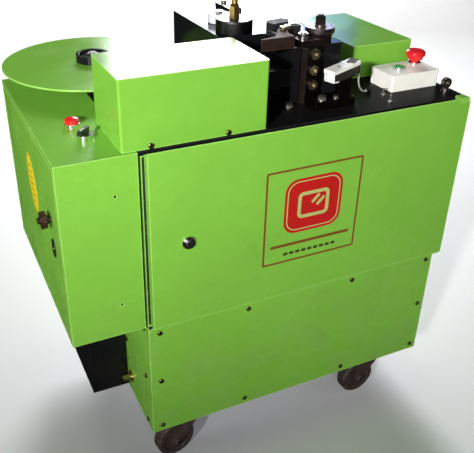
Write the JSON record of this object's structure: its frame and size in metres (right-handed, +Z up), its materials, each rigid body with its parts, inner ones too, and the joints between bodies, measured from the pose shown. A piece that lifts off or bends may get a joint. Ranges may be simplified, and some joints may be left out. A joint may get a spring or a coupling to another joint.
{
  "type": "rebar bender",
  "caption": "Castor-mounted hydraulic bending machine for reinforcing bar, with a rack-driven spindle head, a turntable for rings, a control box and a push-button station.",
  "frame": {"origin": "on the floor, under the centre of the machine's bounding box", "axes": "+X to the right seen from the door, +Y to the back, +Z up"},
  "size_m": [0.946, 0.688, 1.0425],
  "materials": {
    "green_paint": "glossy enamel",
    "black_paint": "semi-gloss paint",
    "motor_paint": "semi-gloss paint",
    "tank_paint": "semi-gloss paint",
    "zinc": "bright zinc plate",
    "steel": "machined, lightly oiled",
    "bright_steel": "ground bright",
    "tool_steel": "oiled, brown",
    "blackened_steel": "blackened, bright on top",
    "grey_metal": "die-cast, dark grey",
    "chrome": "polished",
    "brass": "worn",
    "cast_iron": "machined on the faces",
    "cream_plastic": "smooth",
    "black_plastic": "matt",
    "green_plastic": "smooth",
    "red_plastic": "smooth",
    "castor_steel": "dusty dark paint",
    "castor_rubber": "dusty"
  },
  "bodies": {
    "machine": {"base_frame": "black_paint", "lower_panels": "green_paint", "panel_screws": "blackened_steel", "upper_cabinet": "green_paint", "deck_plate": "black_paint", "machine_bolts": "zinc", "door_hinges": "green_paint", "control_box": "green_paint", "support_column": "black_paint", "drain_plug": "brass", "front_guard": "green_paint", "rear_guard": "green_paint", "turntable_post": "steel", "head_housing": "black_paint", "clamp_plate": "tool_steel", "cap_screws": "zinc", "spindle_bushes": "brass", "cylinder_body": "steel", "bar_guides": "tool_steel", "roller_axles": "brass", "limit_switch": "grey_metal", "switch_wire": "cream_plastic", "button_box": "cream_plastic", "control_bezels": "chrome", "lamp_lens": "red_plastic", "motor": "motor_paint", "pump": "cast_iron", "valve_block": "steel", "oil_tank": "tank_paint", "pipes": "zinc", "control_gear": "black_plastic"},
    "front_door": {"front_door": "green_paint", "door_lock_housing": "chrome"},
    "door_lock": {"door_lock_plug": "steel"},
    "side_door": {"side_door": "green_paint"},
    "side_lock": {"side_lock_plug": "chrome"},
    "latch_knob": {"latch_knob": "black_plastic"},
    "turntable": {"turntable_disc": "green_paint", "turntable_hub": "black_paint"},
    "spindle": {"spindle": "steel", "pinion": "steel", "bending_arm": "tool_steel"},
    "bending_roller": {"bending_roller": "bright_steel"},
    "rack": {"rack": "steel", "piston_rod": "chrome"},
    "guide_roller": {"guide_roller": "blackened_steel"},
    "small_roller": {"small_roller": "bright_steel"},
    "switch_lever": {"switch_lever": "bright_steel"},
    "start_button": {"start_button": "green_plastic"},
    "stop_button": {"stop_button": "red_plastic"},
    "selector_knob": {"selector_knob": "black_plastic"},
    "motor_coupling": {"motor_coupling": "steel"},
    "castor_fork_front_left": {"castor_fork_front_left": "castor_steel"},
    "castor_wheel_front_left": {"castor_wheel_front_left": "castor_rubber"},
    "castor_fork_front_right": {"castor_fork_front_right": "castor_steel"},
    "castor_wheel_front_right": {"castor_wheel_front_right": "castor_rubber"},
    "castor_fork_rear_left": {"castor_fork_rear_left": "castor_steel"},
    "castor_wheel_rear_left": {"castor_wheel_rear_left": "castor_rubber"},
    "castor_fork_rear_right": {"castor_fork_rear_right": "castor_steel"},
    "castor_wheel_rear_right": {"castor_wheel_rear_right": "castor_rubber"}
  },
  "joints": [
    {"name": "front_door_hinge", "type": "hinge", "parent": "machine", "child": "front_door", "pos_m": [0.4635, -0.326, 0.643], "axis": [0, 0, 1], "range_deg": [0, 110]},
    {"name": "door_lock_turn", "type": "hinge", "parent": "front_door", "child": "door_lock", "pos_m": [-0.202, -0.326, 0.642], "axis": [0, 1, 0], "range_deg": [0, 90]},
    {"name": "side_door_hinge", "type": "hinge", "parent": "machine", "child": "side_door", "pos_m": [-0.4405, 0.1785, 0.643], "axis": [0, 0, -1], "range_deg": [0, 105]},
    {"name": "side_lock_turn", "type": "hinge", "parent": "side_door", "child": "side_lock", "pos_m": [-0.447, -0.239, 0.636], "axis": [-1, 0, 0], "range_deg": [0, 90]},
    {"name": "latch_knob_turn", "type": "hinge", "parent": "side_door", "child": "latch_knob", "pos_m": [-0.447, -0.237, 0.701], "axis": [-1, 0, 0], "range_deg": [0, 90]},
    {"name": "turntable_spin", "type": "hinge", "parent": "machine", "child": "turntable", "pos_m": [-0.243, 0.138, 0.876], "axis": [0, 0, 1], "continuous": true},
    {"name": "spindle_turn", "type": "hinge", "parent": "machine", "child": "spindle", "pos_m": [0.175, -0.164, 0.903], "axis": [0, 0, 1], "range_deg": [0, 135]},
    {"name": "rack_slide", "type": "slide", "parent": "machine", "child": "rack", "axis": [1, 0, 0], "range_m": [0, 0.0478]},
    {"name": "bending_roller_spin", "type": "hinge", "parent": "spindle", "child": "bending_roller", "pos_m": [0.125, -0.18, 0.979], "axis": [0, 0, 1], "continuous": true},
    {"name": "guide_roller_spin", "type": "hinge", "parent": "machine", "child": "guide_roller", "pos_m": [0.034, -0.038, 0.973], "axis": [0, 0, 1], "continuous": true},
    {"name": "small_roller_spin", "type": "hinge", "parent": "machine", "child": "small_roller", "pos_m": [0.037, 0.048, 0.973], "axis": [0, 0, 1], "continuous": true},
    {"name": "switch_lever_press", "type": "hinge", "parent": "machine", "child": "switch_lever", "pos_m": [0.20429, -0.22257, 0.91803], "axis": [-0.309, 0.9511, 0], "range_deg": [0, 20], "stiffness_Nm_per_rad": 0.2, "springref_deg": -2.86},
    {"name": "start_press", "type": "slide", "parent": "machine", "child": "start_button", "axis": [0, 0, -1], "range_m": [0, 0.003], "stiffness_N_per_m": 500, "springref_m": -0.002},
    {"name": "stop_press", "type": "slide", "parent": "machine", "child": "stop_button", "axis": [0, 0, -1], "range_m": [0, 0.005]},
    {"name": "selector_turn", "type": "hinge", "parent": "machine", "child": "selector_knob", "pos_m": [-0.362, -0.213, 0.848], "axis": [0, 0, 1], "range_deg": [0, 90]},
    {"name": "motor_spin", "type": "hinge", "parent": "machine", "child": "motor_coupling", "pos_m": [0.233, -0.044, 0.5335], "axis": [1, 0, 0], "continuous": true},
    {"name": "castor_swivel_front_left", "type": "hinge", "parent": "machine", "child": "castor_fork_front_left", "pos_m": [-0.183, -0.266, 0.113], "axis": [0, 0, 1], "continuous": true},
    {"name": "castor_roll_front_left", "type": "hinge", "parent": "castor_fork_front_left", "child": "castor_wheel_front_left", "pos_m": [-0.21865, -0.27101, 0.05], "axis": [0.1392, -0.9903, 0], "continuous": true},
    {"name": "castor_swivel_front_right", "type": "hinge", "parent": "machine", "child": "castor_fork_front_right", "pos_m": [0.351, -0.266, 0.113], "axis": [0, 0, 1], "continuous": true},
    {"name": "castor_roll_front_right", "type": "hinge", "parent": "castor_fork_front_right", "child": "castor_wheel_front_right", "pos_m": [0.31509, -0.26851, 0.05], "axis": [0.0698, -0.9976, 0], "continuous": true},
    {"name": "castor_swivel_rear_left", "type": "hinge", "parent": "machine", "child": "castor_fork_rear_left", "pos_m": [-0.183, 0.148, 0.113], "axis": [0, 0, 1], "continuous": true},
    {"name": "castor_roll_rear_left", "type": "hinge", "parent": "castor_fork_rear_left", "child": "castor_wheel_rear_left", "pos_m": [-0.2176, 0.13808, 0.05], "axis": [0.2756, -0.9613, 0], "continuous": true},
    {"name": "castor_swivel_rear_right", "type": "hinge", "parent": "machine", "child": "castor_fork_rear_right", "pos_m": [0.351, 0.148, 0.113], "axis": [0, 0, 1], "continuous": true},
    {"name": "castor_roll_rear_right", "type": "hinge", "parent": "castor_fork_rear_right", "child": "castor_wheel_rear_right", "pos_m": [0.31535, 0.15301, 0.05], "axis": [-0.1392, -0.9903, 0], "continuous": true}
  ],
  "couplings": [
    {"joint": "rack_slide", "follows": "spindle_turn", "m_per_rad": 0.02025}
  ]
}
